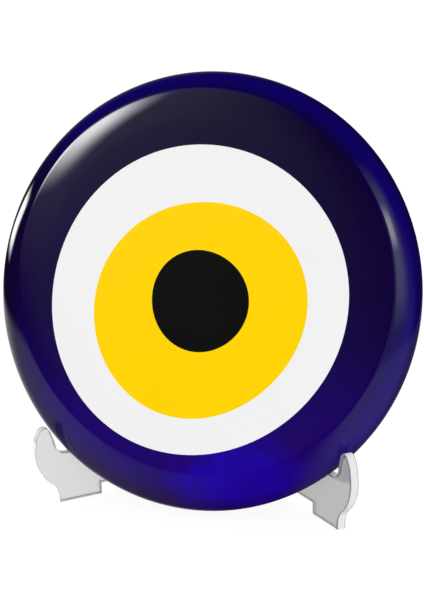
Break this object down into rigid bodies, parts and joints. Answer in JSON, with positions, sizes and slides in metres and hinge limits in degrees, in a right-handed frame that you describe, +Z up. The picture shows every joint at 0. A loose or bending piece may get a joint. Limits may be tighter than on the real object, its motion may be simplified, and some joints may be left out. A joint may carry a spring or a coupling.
{
  "type": "evil eye ornament",
  "caption": "Round fused glass eye charm in blue, white, yellow and black, leaning on a small clear folding plate stand.",
  "frame": {"origin": "centre of the bounding box in plan, at the floor under the stand's feet", "axes": "+Z up, the disc's front faces -Y and leans back towards +Y, X across the disc"},
  "size_m": [0.15, 0.0592, 0.1485],
  "materials": {
    "blue_glass": "polished cobalt blue glass",
    "white_glass": "opaque polished white glass",
    "yellow_glass": "opaque polished yellow glass",
    "black_glass": "opaque polished black glass",
    "clear_plastic": "clear moulded plastic",
    "clear_pin": "clear moulded plastic"
  },
  "bodies": {
    "hinge": {"hinge_pin": "clear_pin"},
    "left_stand_arm": {"left_arm": "clear_plastic"},
    "right_stand_arm": {"right_arm": "clear_plastic"},
    "disc": {"blue_glass_disc": "blue_glass", "white_glass_layer": "white_glass", "yellow_glass_layer": "yellow_glass", "black_glass_pupil": "black_glass"}
  },
  "joints": [
    {"name": "disc_lift", "type": "slide", "parent": "hinge", "child": "disc", "axis": [0, 0, 1], "range_m": [0, 0.2]},
    {"name": "left_arm_fold", "type": "hinge", "parent": "hinge", "child": "left_stand_arm", "pos_m": [0, 0.02595, 0.033], "axis": [0, 0, 1], "range_deg": [0, 44]},
    {"name": "right_arm_fold", "type": "hinge", "parent": "hinge", "child": "right_stand_arm", "pos_m": [0, 0.02595, 0.033], "axis": [0, 0, 1], "range_deg": [-44, 0]}
  ],
  "couplings": [
    {"joint": "left_arm_fold", "follows": "disc_lift", "rad_per_m": 3.8397},
    {"joint": "right_arm_fold", "follows": "disc_lift", "rad_per_m": -3.8397}
  ]
}
